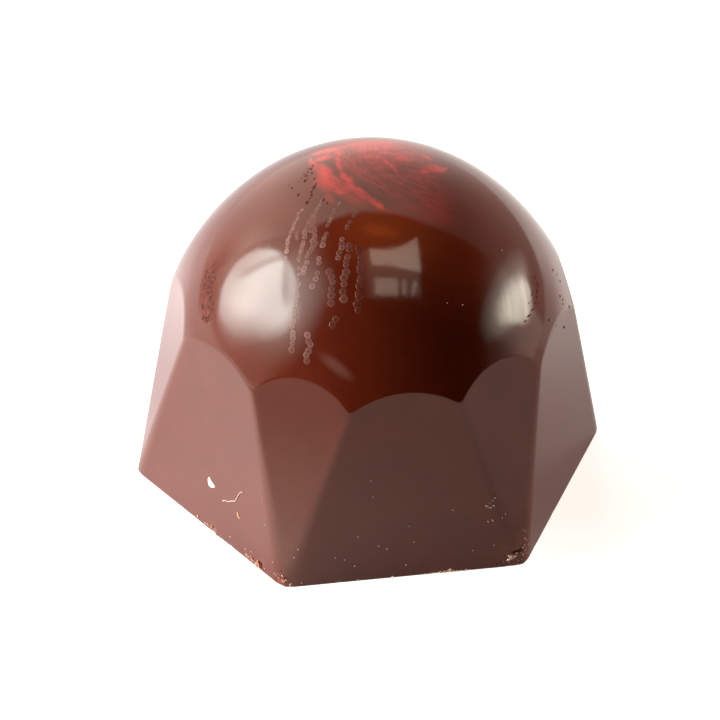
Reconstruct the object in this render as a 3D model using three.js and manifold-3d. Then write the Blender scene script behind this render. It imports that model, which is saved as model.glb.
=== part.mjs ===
// A moulded chocolate praline: an egg-shaped dome of dark chocolate standing on a hexagonal base.
// Twelve flat facets are cut into the dome's side. Six side facets stand on the sides of the base and
// six corner facets rise from its corners. A corner facet starts as a point at the base and leans in
// more than a side facet, so it widens upwards, and every facet ends in a round arch against the dome.
// Millimetres, +Z up, origin at the centre of the flat base. A side facet faces -Y.
import * as THREE from "three";
import { mergeVertices } from "three/addons/utils/BufferGeometryUtils.js";
import Module from "manifold-3d";

// Driving dimensions
const HEIGHT = 21.4; // flat base to the top of the dome
const ACROSS_FLATS = 26; // base, from one side to the opposite one
const CORNER_TRIM = 0.09; // taken off the base's corners by the corner facets
const SIDE_LEAN = THREE.MathUtils.degToRad(4.25); // inward lean of a side facet from upright
const CORNER_LEAN = THREE.MathUtils.degToRad(12.9); // inward lean of a corner facet from upright
const EDGE_RADIUS = 1.5; // rounding along the edges between the facets
const DOME_HALF_WIDTH = 14; // level half axis of the dome's ellipse
const DOME_CENTRE_HEIGHT = 4.6; // height of the ellipse's centre above the base
const SKIRT_FLARE = THREE.MathUtils.degToRad(12); // slope of the uncut dome below the facets' arches

// Fineness of the round surfaces
const DOME_SEGMENTS = 108; // steps round the dome, a whole number for each facet
const DOME_RINGS = 30; // steps from the skirt to the top of the dome
const ROUNDING_STEPS = 4; // turns from one facet to the next along a rounded edge

// Worked out from the driving dimensions
const SIDES = 6;
const FACETS = 2 * SIDES;
const FACET_TURN = (2 * Math.PI) / FACETS;
const SIDE_APOTHEM = ACROSS_FLATS / 2;
const CORNER_APOTHEM = SIDE_APOTHEM / Math.cos(FACET_TURN) - CORNER_TRIM;
const DOME_HALF_HEIGHT = HEIGHT - DOME_CENTRE_HEIGHT;
const BLOCK_SIZE = 4 * ACROSS_FLATS; // a cutting block is larger than the whole praline

const wasm = await Module();
wasm.setup();

// A closed three.js geometry as a solid that can be joined and cut.
function solidOf(geometry) {
  const bare = geometry.clone();
  bare.deleteAttribute("normal");
  bare.deleteAttribute("uv");
  const merged = mergeVertices(bare);
  return new wasm.Manifold(
    new wasm.Mesh({
      numProp: 3,
      vertProperties: merged.attributes.position.array,
      triVerts: new Uint32Array(merged.index.array),
    }),
  );
}

// A solid as a three.js geometry with a flat normal on each face.
function geometryOf(solid) {
  const mesh = solid.getMesh();
  const indexed = new THREE.BufferGeometry();
  indexed.setAttribute("position", new THREE.BufferAttribute(mesh.vertProperties, 3));
  indexed.setIndex(new THREE.BufferAttribute(mesh.triVerts, 1));
  const flat = indexed.toNonIndexed();
  flat.computeVertexNormals();
  return flat;
}

// The uncut dome: the upper part of an ellipse that runs on into a straight skirt which flares to the base.
function domeBlank() {
  const skirtAngle = Math.atan((DOME_HALF_HEIGHT / DOME_HALF_WIDTH) * Math.tan(SKIRT_FLARE));
  const profile = [new THREE.Vector2(0, 0)];
  for (let ring = 0; ring <= DOME_RINGS; ring++) {
    const angle = THREE.MathUtils.lerp(skirtAngle, Math.PI / 2, ring / DOME_RINGS);
    const radius = DOME_HALF_WIDTH * Math.cos(angle);
    const height = DOME_CENTRE_HEIGHT + DOME_HALF_HEIGHT * Math.sin(angle);
    if (ring === 0) profile.push(new THREE.Vector2(radius + height * Math.tan(SKIRT_FLARE), 0));
    profile.push(ring === DOME_RINGS ? new THREE.Vector2(0, HEIGHT) : new THREE.Vector2(radius, height));
  }
  const blank = new THREE.LatheGeometry(profile, DOME_SEGMENTS);
  blank.rotateX(Math.PI / 2);
  return solidOf(blank);
}

// The plane of one facet, counted round from the side facet that faces -Y. Even facets are side facets.
function facetPlane(index) {
  const isSide = index % 2 === 0;
  const lean = isSide ? SIDE_LEAN : CORNER_LEAN;
  const apothem = isSide ? SIDE_APOTHEM : CORNER_APOTHEM;
  const heading = index * FACET_TURN - Math.PI / 2;
  const normal = new THREE.Vector3(
    Math.cos(heading) * Math.cos(lean),
    Math.sin(heading) * Math.cos(lean),
    Math.sin(lean),
  );
  return { normal, reach: apothem * Math.cos(lean) };
}

// The planes that touch the rounding between two facets, a cylinder inside both of them.
function roundingPlanes(first, second) {
  const across = first.normal.dot(second.normal);
  const firstReach = first.reach - EDGE_RADIUS;
  const secondReach = second.reach - EDGE_RADIUS;
  const spread = 1 - across * across;
  const onAxis = new THREE.Vector3()
    .addScaledVector(first.normal, (firstReach - across * secondReach) / spread)
    .addScaledVector(second.normal, (secondReach - across * firstReach) / spread);
  const planes = [];
  for (let step = 1; step < ROUNDING_STEPS; step++) {
    const normal = first.normal.clone().lerp(second.normal, step / ROUNDING_STEPS).normalize();
    planes.push({ normal, reach: normal.dot(onAxis) + EDGE_RADIUS });
  }
  return planes;
}

// Takes off everything of the solid that lies outside the plane.
function cutAt(solid, { normal, reach }) {
  const block = new THREE.BoxGeometry(BLOCK_SIZE, BLOCK_SIZE, BLOCK_SIZE);
  const turn = new THREE.Quaternion().setFromUnitVectors(new THREE.Vector3(0, 0, 1), normal);
  block.applyQuaternion(turn);
  block.translate(...normal.clone().multiplyScalar(reach + BLOCK_SIZE / 2).toArray());
  return solid.subtract(solidOf(block));
}

// The dome with its facets and their rounded edges.
function pralineGeometry() {
  const facets = Array.from({ length: FACETS }, (_, index) => facetPlane(index));
  const roundings = facets.flatMap((facet, index) => roundingPlanes(facet, facets[(index + 1) % FACETS]));
  return geometryOf([...facets, ...roundings].reduce(cutAt, domeBlank()));
}

const darkChocolate = new THREE.MeshStandardMaterial({ color: 0x4a1c10, roughness: 0.12, metalness: 0 });

const praline = new THREE.Mesh(pralineGeometry(), darkChocolate);
praline.name = "praline";

const part = new THREE.Group();
part.add(praline);

export default part;
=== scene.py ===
"""A moulded dark chocolate praline with a brushed red swirl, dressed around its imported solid."""
import math
import random

import bmesh
import bpy
from bpy.props import FloatProperty, FloatVectorProperty, IntProperty, PointerProperty
from mathutils import Matrix, Vector, noise


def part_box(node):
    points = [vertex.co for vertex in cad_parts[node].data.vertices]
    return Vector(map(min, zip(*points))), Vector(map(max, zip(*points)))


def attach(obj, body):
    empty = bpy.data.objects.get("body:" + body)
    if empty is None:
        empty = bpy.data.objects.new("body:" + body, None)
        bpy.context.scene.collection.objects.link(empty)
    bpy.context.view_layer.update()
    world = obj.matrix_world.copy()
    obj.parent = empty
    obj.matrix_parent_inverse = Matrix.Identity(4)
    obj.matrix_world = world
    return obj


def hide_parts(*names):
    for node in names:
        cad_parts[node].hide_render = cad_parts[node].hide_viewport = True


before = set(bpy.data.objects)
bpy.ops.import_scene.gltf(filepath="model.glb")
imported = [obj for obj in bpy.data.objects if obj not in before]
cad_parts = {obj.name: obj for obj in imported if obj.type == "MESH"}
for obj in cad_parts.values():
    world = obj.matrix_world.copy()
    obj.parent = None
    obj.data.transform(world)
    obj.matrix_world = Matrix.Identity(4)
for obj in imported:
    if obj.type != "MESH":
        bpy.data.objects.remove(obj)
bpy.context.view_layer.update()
SOLID_LOW, SOLID_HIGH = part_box("praline")

bl_info = {
    "name": "Chocolate praline",
    "version": (1, 0, 0),
    "blender": (4, 5, 0),
    "location": "View3D > Sidebar > Praline",
    "description": "Dresses a praline's solid as glossy moulded chocolate with a brushed red swirl",
    "category": "Object",
}

MM = 0.001
BODY = "root"
FACETS = 12
FACET_TURN = 2 * math.pi / FACETS
FRONT = -math.pi / 2  # the angle of -Y, which the first side facet faces


# Sizes and colours that a user would change

def length(name, description, millimetres):
    """A size in the scene's metres, with its default given in millimetres."""
    return FloatProperty(
        name=name, description=description, default=millimetres * MM, min=0, unit="LENGTH", precision=6
    )


def lean(name, description, degrees):
    """An angle, with its default given in degrees."""
    return FloatProperty(
        name=name, description=description, default=math.radians(degrees), subtype="ANGLE"
    )


def colour(name, description, red, green, blue):
    """A linear colour."""
    return FloatVectorProperty(
        name=name, description=description, default=(red, green, blue), min=0, max=1, subtype="COLOR"
    )


def amount(name, description, default):
    """A plain number."""
    return FloatProperty(name=name, description=description, default=default, min=0)


class MouldSizes(bpy.types.PropertyGroup):
    """Sizes of the mould that the chocolate shell comes out of."""

    height: length("Height", "Flat base to the top of the dome", SOLID_HIGH.z / MM)
    across_flats: length("Across flats", "Base, side to opposite side", (SOLID_HIGH.y - SOLID_LOW.y) / MM)
    corner_trim: length("Corner trim", "Taken off the base's corners by the corner facets", 0.09)
    side_lean: lean("Side lean", "Inward lean of a side facet from upright", 4.25)
    corner_lean: lean("Corner lean", "Inward lean of a corner facet from upright", 12.9)
    edge_radius: length("Edge radius", "Rounding between the facets, below the arches", 0.9)
    worn_radius: length("Worn edge radius", "Rounding between the facets, at the base", 2.3)
    dome_half_width: length("Dome half width", "Level half axis of the dome's ellipse", 14)
    dome_centre: length("Dome centre", "Height of the ellipse's centre above the base", 4.6)
    arch_softness: length("Arch softness", "How far a facet's arch is blended into the dome", 0.06)
    foot_radius: length("Foot radius", "Rounding where the facets meet the base", 0.16)
    columns: IntProperty(name="Columns", description="Steps round the shell", default=576, min=48)


class PralineColours(bpy.types.PropertyGroup):
    """Colours of the chocolate, of the paint on it and of what lies on it."""

    chocolate: colour("Chocolate", "Tempered dark chocolate", 0.078, 0.0093, 0.0028)
    chocolate_warm: colour("Warm chocolate", "Its slightly paler clouds", 0.090, 0.0113, 0.0036)
    # Painted shade: a darker chocolate for the lower right front of the dome, where it looks dark
    chocolate_painted_shade: colour("Deep chocolate", "The dome's glossiest side", 0.047, 0.0052, 0.0014)
    broken: colour("Broken chocolate", "Dull chips and scrapes", 0.20, 0.060, 0.026)
    red_paint: colour("Red paint", "Red cocoa butter where it is thick", 0.34, 0.016, 0.014)
    red_film: colour("Red film", "Red cocoa butter where it is thin", 0.222, 0.0162, 0.0112)
    coral_paint: colour("Coral paint", "Its brightest strands", 0.50, 0.035, 0.026)
    orange_paint: colour("Orange paint", "The paint's drawn-out tail", 0.52, 0.045, 0.010)
    amber_film: colour("Amber film", "Clear cocoa butter in front of the tail", 0.275, 0.0460, 0.0105)
    # Partly the pale film of burst bubbles, partly painted highlight of their rims catching light; the
    # finger smear is tinted with it too
    bubble: colour("Bubble rims", "Pale rims of the burst bubbles", 0.22, 0.100, 0.075)
    # Painted shade and painted highlight of the pits, scratches and notches: dark in their mouths, paler on
    # their rims
    pit_painted_shade: colour("Pinholes", "Dark pits beside the swirl", 0.034, 0.0088, 0.0052)
    pit_painted_highlight: colour("Pit rims", "Paler rims of the pits", 0.105, 0.0270, 0.0170)
    crumb: colour("Crumbs", "Fresh crumbs along the base", 0.46, 0.155, 0.062)
    dust: colour("Dust", "Pale pink specks on the facets", 0.52, 0.32, 0.26)
    flake: colour("Flake", "White flake on the left facet", 0.80, 0.76, 0.66)
    curl: colour("Curl", "Thin pale curl on the left facet", 0.46, 0.29, 0.25)
    cream: colour("Cream flakes", "Pale flakes at the right front corner", 0.85, 0.56, 0.36)
    sliver: colour("Sliver", "Golden sliver on the left facet", 0.85, 0.52, 0.24)


class StudioSettings(bpy.types.PropertyGroup):
    """The floor, the lights and the camera."""

    left_light: amount("Left softbox", "Brightness of the large softbox", 15.2)
    right_light: amount("Right softbox", "Brightness of the small softbox", 8.6)
    pane_light: amount("Panes", "Brightness of the panes overhead", 3.1)
    fill_light: amount("Fill", "Brightness of the lamps that light the chocolate's own colour", 1.0)
    ceiling_light: amount("Ceiling", "Brightness of the ceiling round the panes", 0.82)
    backdrop_left: amount("Backdrop left", "Brightness of the backdrop's left side", 1.95)
    backdrop_right: amount("Backdrop right", "Brightness of the backdrop's right side", 0.60)
    left_wall: amount("Left wall", "Brightness round the large softbox", 1.0)
    right_wall: amount("Right wall", "Brightness round the small softbox", 1.32)
    floor: colour("Floor", "Pale floor", 0.42, 0.42, 0.42)
    # Painted light: the floor's glow, with painted pools of light and a painted soft shadow in it
    floor_glow: amount("Floor glow", "Light through the floor, strongest at the back left", 0.65)
    camera_turn: lean("Camera turn", "Where the camera stands, from -Y towards +X", -9.903)
    camera_rise: lean("Camera rise", "The camera's angle above the horizon", 35.908)
    camera_roll: lean("Camera roll", "How far the camera is tipped sideways", 0.822)
    camera_distance: length("Camera distance", "From the point that it aims at", 230.2)
    camera_lens: FloatProperty(
        name="Lens", description="Focal length on a 36 mm sensor", default=183.67, unit="CAMERA"
    )


# The mould's form

def soft_least(first, second, softness):
    """The lesser of two lengths, blended where they are nearly equal."""
    overlap = max(softness - abs(first - second), 0) / softness
    return min(first, second) - overlap * overlap * softness / 4


def seated(point, out, up):
    """A frame at a point: Z points out and X runs to the right of the way up."""
    out = out.normalized()
    right = Vector(up).cross(out).normalized()
    turn = Matrix((right, out.cross(right), out)).transposed()
    return Matrix.Translation(point) @ turn.to_4x4()


class Mould:
    """The praline's outer form: facets below, a dome above and arches between them."""

    SKIRT_FLARE = math.radians(12)  # slope of the uncut dome below the arches
    WORN_HEIGHT = 9 * MM  # the facets' edges are rounder below this height
    HALVINGS = 40  # steps towards the height of an arch
    SEAT_STEP = 0.02 * MM  # how far apart the points are that give a surface its slope

    def __init__(self, sizes):
        self.sizes = sizes
        self.half_height = sizes.height - sizes.dome_centre
        start = math.atan(self.half_height / sizes.dome_half_width * math.tan(self.SKIRT_FLARE))
        self.skirt_top = sizes.dome_centre + self.half_height * math.sin(start)
        self.skirt_radius = sizes.dome_half_width * math.cos(start)

    def facet(self, index, height):
        """Angle that a facet faces, and its distance from the axis at a height. Even ones are sides."""
        apothem = self.sizes.across_flats / 2
        slope = math.tan(self.sizes.side_lean)
        if index % 2:
            apothem = apothem / math.cos(FACET_TURN) - self.sizes.corner_trim
            slope = math.tan(self.sizes.corner_lean)
        return FRONT + index * FACET_TURN, apothem - height * slope

    def wedge_radius(self, index, angle, height):
        """Distance from the axis to a facet and the next one, with the edge between them rounded."""
        faces, first = self.facet(index, height)
        _, second = self.facet(index + 1, height)
        off = angle - faces
        flat = min(first / math.cos(off), second / math.cos(off - FACET_TURN))
        worn = max(1 - height / self.WORN_HEIGHT, 0)
        rounding = self.sizes.edge_radius + (self.sizes.worn_radius - self.sizes.edge_radius) * worn
        along = first - rounding
        across = (second - rounding - along * math.cos(FACET_TURN)) / math.sin(FACET_TURN)
        middle = along * math.cos(off) + across * math.sin(off)
        reach = rounding ** 2 - along ** 2 - across ** 2 + middle ** 2
        if reach < 0:
            return flat
        arc = middle + math.sqrt(reach)
        turned = math.atan2(arc * math.sin(off) - across, arc * math.cos(off) - along)
        return arc if 0 <= turned <= FACET_TURN else flat

    def facet_radius(self, angle, height):
        """Distance from the axis to the facets."""
        nearest = math.floor((angle - FRONT) / FACET_TURN)
        return min(self.wedge_radius(nearest + step, angle, height) for step in (-1, 0, 1))

    def dome_radius(self, height):
        """Distance from the axis to the uncut dome."""
        if height < self.skirt_top:
            return self.skirt_radius + (self.skirt_top - height) * math.tan(self.SKIRT_FLARE)
        share = min((height - self.sizes.dome_centre) / self.half_height, 1)
        return self.sizes.dome_half_width * math.sqrt(1 - share * share)

    def radius(self, angle, height):
        """Distance from the axis to the shell's outer surface."""
        outer = self.dome_radius(height)
        nearest_facet = min(self.facet(index, height)[1] for index in (0, 1))
        if outer + self.sizes.arch_softness > nearest_facet:
            outer = soft_least(self.facet_radius(angle, height), outer, self.sizes.arch_softness)
        foot = self.sizes.foot_radius
        if height < foot:
            outer -= foot - math.sqrt(foot ** 2 - (foot - height) ** 2)
        return outer

    def arch_height(self, angle):
        """Height at which a facet's plane meets the dome."""
        low, high = 0, self.sizes.height
        for _ in range(self.HALVINGS):
            middle = (low + high) / 2
            if self.facet_radius(angle, middle) < self.dome_radius(middle):
                low = middle
            else:
                high = middle
        return low

    def place(self, angle, height):
        """A point on the surface."""
        outer = self.radius(angle, height)
        return Vector((outer * math.cos(angle), outer * math.sin(angle), height))

    def seat(self, angle, height):
        """A frame on the surface: Z points out, X runs level to the right and Y runs up."""
        point = self.place(angle, height)
        across = self.place(angle + self.SEAT_STEP / self.sizes.across_flats, height) - point
        upward = self.place(angle, height + self.SEAT_STEP) - point
        return seated(point, across.cross(upward), (0, 0, 1))

    def seat_at(self, heading, height):
        """The same at a heading in degrees from the front and a height in millimetres."""
        return self.seat(FRONT + math.radians(heading), height * MM)

    def dome_seat(self, across, ahead):
        """A frame on the dome at a place in plan, in millimetres across to +X and ahead to +Y."""
        across, ahead = across * MM, ahead * MM
        wide = self.sizes.dome_half_width ** 2
        rise = self.half_height * math.sqrt(1 - (across ** 2 + ahead ** 2) / wide)
        out = Vector((across / wide, ahead / wide, rise / self.half_height ** 2))
        return seated(Vector((across, ahead, self.sizes.dome_centre + rise)), out, (0, 1, 0))


def mould():
    """The mould at the sizes that the panel shows."""
    return Mould(bpy.context.scene.praline_mould)


# Node recipes

class Recipe:
    """Puts a node tree together, so that each finish reads as a few steps."""

    def __init__(self, tree):
        self.tree = tree
        tree.nodes.clear()

    def feed(self, socket, value):
        """Links an output to a socket, or sets the socket's own value."""
        if isinstance(value, bpy.types.NodeSocket):
            self.tree.links.new(value, socket)
        else:
            socket.default_value = value

    def add(self, kind, inputs=None, **settings):
        """A new node with its settings and inputs."""
        node = self.tree.nodes.new(kind)
        for name, value in settings.items():
            setattr(node, name, value)
        for name, value in (inputs or {}).items():
            self.feed(node.inputs[name], value)
        return node

    def math(self, operation, *values):
        """One step of arithmetic."""
        return self.add("ShaderNodeMath", dict(enumerate(values)), operation=operation).outputs[0]

    def vector(self, operation, *values):
        """One step of vector arithmetic that gives a vector."""
        return self.add("ShaderNodeVectorMath", dict(enumerate(values)), operation=operation).outputs[0]

    def ease(self, value, low, high, start=0.0, end=1.0):
        """A smooth step from start to end as the value goes from low to high."""
        inputs = {"Value": value, "From Min": low, "From Max": high, "To Min": start, "To Max": end}
        node = self.add("ShaderNodeMapRange", inputs, interpolation_type="SMOOTHSTEP")
        return node.outputs["Result"]

    def noise(self, vector, scale, detail, roughness, output="Fac"):
        """Cloudy noise between 0 and 1."""
        inputs = {"Vector": vector, "Scale": scale, "Detail": detail, "Roughness": roughness}
        return self.add("ShaderNodeTexNoise", inputs).outputs[output]

    def blend(self, share, first, second):
        """A mix of two colours."""
        node = self.add("ShaderNodeMix", data_type="RGBA")
        for index, value in ((0, share), (6, first), (7, second)):
            self.feed(node.inputs[index], value)
        return node.outputs[2]

    def parts(self, vector):
        """The X, Y and Z of a vector."""
        return self.add("ShaderNodeSeparateXYZ", {"Vector": vector}).outputs

    def joined(self, x, y=0.0):
        """A level vector of its two parts."""
        return self.add("ShaderNodeCombineXYZ", {"X": x, "Y": y}).outputs[0]

    def span(self, x, y):
        """Length of a level vector from its two parts."""
        return self.reach(self.joined(x, y))

    def times(self, first, *others):
        """The product of several values."""
        for other in others:
            first = self.math("MULTIPLY", first, other)
        return first

    def total(self, first, *others):
        """The sum of several values."""
        for other in others:
            first = self.math("ADD", first, other)
        return first

    def less(self, first, second):
        """A value less another."""
        return self.math("SUBTRACT", first, second)

    def most(self, first, second):
        """The greater of two values."""
        return self.math("MAXIMUM", first, second)

    def size(self, value):
        """A value without its sign."""
        return self.math("ABSOLUTE", value)

    def scaled(self, value, factor, start):
        """A value times a factor, added to a start."""
        return self.math("MULTIPLY_ADD", value, factor, start)

    def slope(self, x, y, along_x, along_y, start=0.0):
        """A straight slope over x and y."""
        return self.scaled(x, along_x, self.scaled(y, along_y, start))

    def between(self, share, first, second):
        """A value between two others."""
        return self.scaled(share, self.less(second, first), first)

    def within(self, value, low, full_low, full_high, high):
        """A soft band: 0 up to low, 1 from full low to full high, and 0 again from high."""
        return self.times(self.ease(value, low, full_low), self.ease(value, high, full_high))

    def reach(self, vector):
        """Length of a vector."""
        return self.add("ShaderNodeVectorMath", {0: vector}, operation="LENGTH").outputs["Value"]

    def placed(self, vector, location, rotation, scale):
        """A place as seen from a turned and stretched frame."""
        inputs = {"Vector": vector, "Location": location, "Rotation": rotation, "Scale": scale}
        return self.add("ShaderNodeMapping", inputs, vector_type="TEXTURE").outputs[0]

    def bump(self, strength, distance, height):
        """Fine relief for a shader's normal."""
        inputs = {"Strength": strength, "Distance": distance, "Height": height}
        return self.add("ShaderNodeBump", inputs).outputs[0]

    def millimetres(self):
        """The place on the piece, in millimetres."""
        place = self.add("ShaderNodeTexCoord").outputs["Object"]
        return self.vector("MULTIPLY", place, (1 / MM,) * 3)

    def attribute(self, name):
        """A value stored on the piece's vertices."""
        return self.add("ShaderNodeAttribute", attribute_name=name).outputs["Fac"]

    def surface(self, **inputs):
        """The Principled shader on the material's output, with its inputs given by plain names."""
        named = {}
        for name, value in inputs.items():
            named[name.replace("_", " ").title().replace("Ior", "IOR")] = value
        shader = self.add("ShaderNodeBsdfPrincipled", named)
        self.add("ShaderNodeOutputMaterial", {"Surface": shader.outputs[0]})

    def seen(self):
        """1 for what the camera sees straight on, and 0 for what lights or is mirrored."""
        return self.add("ShaderNodeLightPath").outputs["Is Camera Ray"]


def new_material(name):
    """An empty material and the recipe that fills it."""
    material = bpy.data.materials.new(name)
    material.use_nodes = True
    return material, Recipe(material.node_tree)


def shade(chosen):
    """A panel colour as the four numbers that a colour socket takes."""
    return (*chosen, 1.0)


# Finishes

BUTTER_TINT = (1.0, 0.98, 0.86, 1.0)  # cocoa butter gives the gloss a slightly warm tint
CHOCOLATE_IOR = 1.5
GLOSS = (0.075, 0.115)  # roughness of the bare shell, from its clearest to its cloudiest places
PAINT_DULLING = 0.06  # what the paint adds to the roughness
CHIP_DULLING = 0.45  # what chips add to it
SMEAR_DULLING = 0.12  # what the smear adds to it
SMEAR_COVER = 0.34
SHELL_RELIEF = 0.008 * MM
CRUMB_RELIEF = 0.02 * MM
CLOUDS = (0.35, 4, 0.6)  # scale, detail and roughness of the noise that clouds the chocolate
GRAIN = (3.2, 3, 0.6)  # the same for its fine grain
RIPPLE = (0.9, 2, 0.5)  # the same for the mould's slight waves
WOBBLE = (1.6, 4, 0.65)  # the same for the paint's wavy edges
STRANDS = (2.6, 4, 0.7)  # the same for the broad strands in the paint
BRISTLES = (6.0, 2, 0.6)  # the same for the fine lines in it
STRAND_STRETCH = 1.3  # how much of the brush's turn goes into a strand's length

SWIRL_CENTRE = (4.95, 2.7, 0.0)  # plan place that the brush turned round, in millimetres
PAINT = (  # plan place, half length, half width in millimetres, turn in degrees and strength of each dab
    (-3.42, 2.05, 1.30, 0.24, -85, 0.9),
    (-2.72, 2.35, 0.85, 0.46, -5, 1.0),
    (-2.45, 3.48, 1.35, 0.80, -14, 0.8),
    (-1.74, 2.75, 0.95, 0.30, -80, 0.85),
    (-2.90, 0.62, 1.25, 0.52, -80, 1.0),
    (-2.72, -0.55, 1.70, 0.60, -70, 0.85),
    (-1.98, 1.25, 1.35, 0.22, -91, 0.95),
    (-1.80, -0.72, 1.10, 0.36, -66, 1.0),
    (-2.22, -1.72, 0.60, 0.34, -25, 1.0),
    (-1.70, -1.55, 0.75, 0.42, -55, 0.85),
    (-1.08, -2.28, 1.15, 0.32, -58, 1.0),
    (-0.55, -3.00, 0.60, 0.28, -56, 0.95),
    (-0.25, -3.46, 0.46, 0.28, -53, 1.0),
    (0.70, 2.75, 1.90, 0.85, 4, 1.0),
    (0.45, 3.70, 2.40, 0.80, 0, 0.9),
    (0.05, 1.35, 0.95, 0.50, -30, 0.65),
    (-0.36, 1.80, 0.85, 0.18, -85, 0.6),
    (0.68, 1.45, 0.60, 0.20, -85, 0.85),
    (1.02, 0.30, 0.95, 0.20, -66, 0.9),
    (1.30, 1.75, 1.05, 0.42, -8, 0.75),
    (1.95, 1.20, 1.00, 0.62, 7, 0.6),
    (2.30, 1.90, 0.90, 0.36, 5, 0.6),
    (3.55, 1.70, 0.56, 0.30, -53, 0.85),
    (3.90, 0.34, 0.80, 0.54, 17, 1.0),
    (4.46, 0.62, 0.46, 0.15, 50, 0.9),
    (3.05, -0.31, 0.56, 0.22, 25, 0.85),
)
GAPS = (  # bare places inside the paint, as dabs
    (-2.45, 1.44, 0.56, 0.28, -30, 0.9),
    (-2.26, 0.36, 1.00, 0.17, -85, 0.85),
    (-1.52, 1.45, 1.10, 0.22, -90, 0.7),
    (-3.20, 3.05, 0.42, 0.16, -82, 0.5),
    (1.30, 1.20, 0.60, 0.13, -78, 0.7),
)
FILMS = (  # paint so thin that the chocolate shows through, as dabs
    (-3.25, -0.60, 1.35, 0.50, -75, 0.85),
    (-3.00, -2.05, 0.75, 0.34, -75, 0.6),
    (-1.60, -2.60, 1.15, 0.55, -44, 0.8),
    (0.60, -4.02, 0.90, 0.30, -28, 0.8),
    (1.75, -3.60, 1.50, 0.70, -22, 0.6),
    (2.75, -3.95, 1.60, 0.85, -12, 0.6),
    (1.95, -4.50, 0.90, 0.34, -20, 0.5),
)
DAB_END = 1.15  # where a dab's edge ends, in shares of its half sizes
TAIL = (-0.24, -3.48, 0.52, 0.36, -53)  # where the paint turns orange, as a dab
AMBER = (  # clear film in front of the tail, as dabs
    (-0.25, -5.15, 2.25, 0.90, -19, 0.8),
    (0.30, -5.20, 3.80, 3.10, -8, 0.5),
)


def brush_polar(recipe, plan):
    """Distance from the brush's turning point, and the angle round it from the left towards the front."""
    x, y, _ = recipe.parts(recipe.vector("SUBTRACT", SWIRL_CENTRE, plan))
    return recipe.span(x, y), recipe.math("ARCTAN2", y, x)


def dab(recipe, plan, x, y, half_length, half_width, degrees, strength=1.0, edge=0.3, fray=0.0):
    """One dab of the brush, with a soft or a frayed edge."""
    local = recipe.placed(plan, (x, y, 0), (0, 0, math.radians(degrees)), (half_length, half_width, 1))
    return recipe.ease(recipe.total(recipe.reach(local), fray), edge, DAB_END, strength, 0)


def strongest(recipe, plan, dabs, start, **edges):
    """The strongest of several dabs at each place."""
    for values in dabs:
        start = recipe.most(start, dab(recipe, plan, *values, **edges))
    return start


def swirl(recipe, place):
    """How thick the red is, how thin its film, where its tail and the amber lie, and its fine lines."""
    wobble = recipe.vector("SUBTRACT", recipe.noise(place, *WOBBLE, "Color"), (0.5, 0.5, 0.5))
    wavy = recipe.vector("MULTIPLY_ADD", wobble, (0.5, 0.5, 0), place)
    plan = recipe.vector("MULTIPLY", wavy, (1, 1, 0))
    x, y, _ = recipe.parts(plan)
    reach, turn = brush_polar(recipe, plan)
    along = recipe.joined(reach, recipe.times(turn, STRAND_STRETCH))
    rim = recipe.ease(y, 2.2, 3.8)
    strands = recipe.between(rim, recipe.noise(along, *STRANDS), 0.5)
    bristles = recipe.between(rim, recipe.noise(along, *BRISTLES), 0.52)
    fray = recipe.slope(strands, bristles, 1.0, 0.8, -0.9)
    rounded = recipe.ease(recipe.span(recipe.less(x, 0.3), recipe.less(y, 1)), 5.2, 4.0)
    back = recipe.between(recipe.ease(y, 2, 3), 1, rounded)
    paint = strongest(recipe, plan, PAINT, 0.0, fray=fray)
    for values in GAPS:
        paint = recipe.times(paint, recipe.less(1, dab(recipe, plan, *values, edge=0.4)))
    paint = recipe.times(
        paint, back, recipe.ease(strands, 0.28, 0.56, 0.5, 1), recipe.ease(bristles, 0.28, 0.56, 0.7, 1)
    )
    film = recipe.times(
        back, recipe.ease(reach, 7.6, 6.6), recipe.ease(x, 5.0, 2.6), recipe.ease(y, 5.8, 4.2),
        recipe.ease(bristles, 0.38, 0.56, 0.45, 1), recipe.ease(strands, 0.38, 0.58, 0.35, 1),
    )
    film = strongest(recipe, plan, FILMS, film, edge=0.2)
    tail = dab(recipe, plan, *TAIL)
    amber = strongest(recipe, plan, AMBER, 0.0, edge=0.05)
    return paint, film, tail, amber, bristles


SMEAR = (-3.9, -10.6, 14.6)  # middle of the pale finger smear on the dome's front, in millimetres
SMEAR_TURN = (0, math.radians(25.8), math.radians(-37.9))
SMEAR_HALF = (1.75, 0.36, 0.8)


def smeared(recipe, place):
    """How much of the pale smear lies at a place."""
    local = recipe.placed(place, SMEAR, SMEAR_TURN, SMEAR_HALF)
    return recipe.ease(recipe.reach(local), 0.15, 1, 1, 0)


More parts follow.
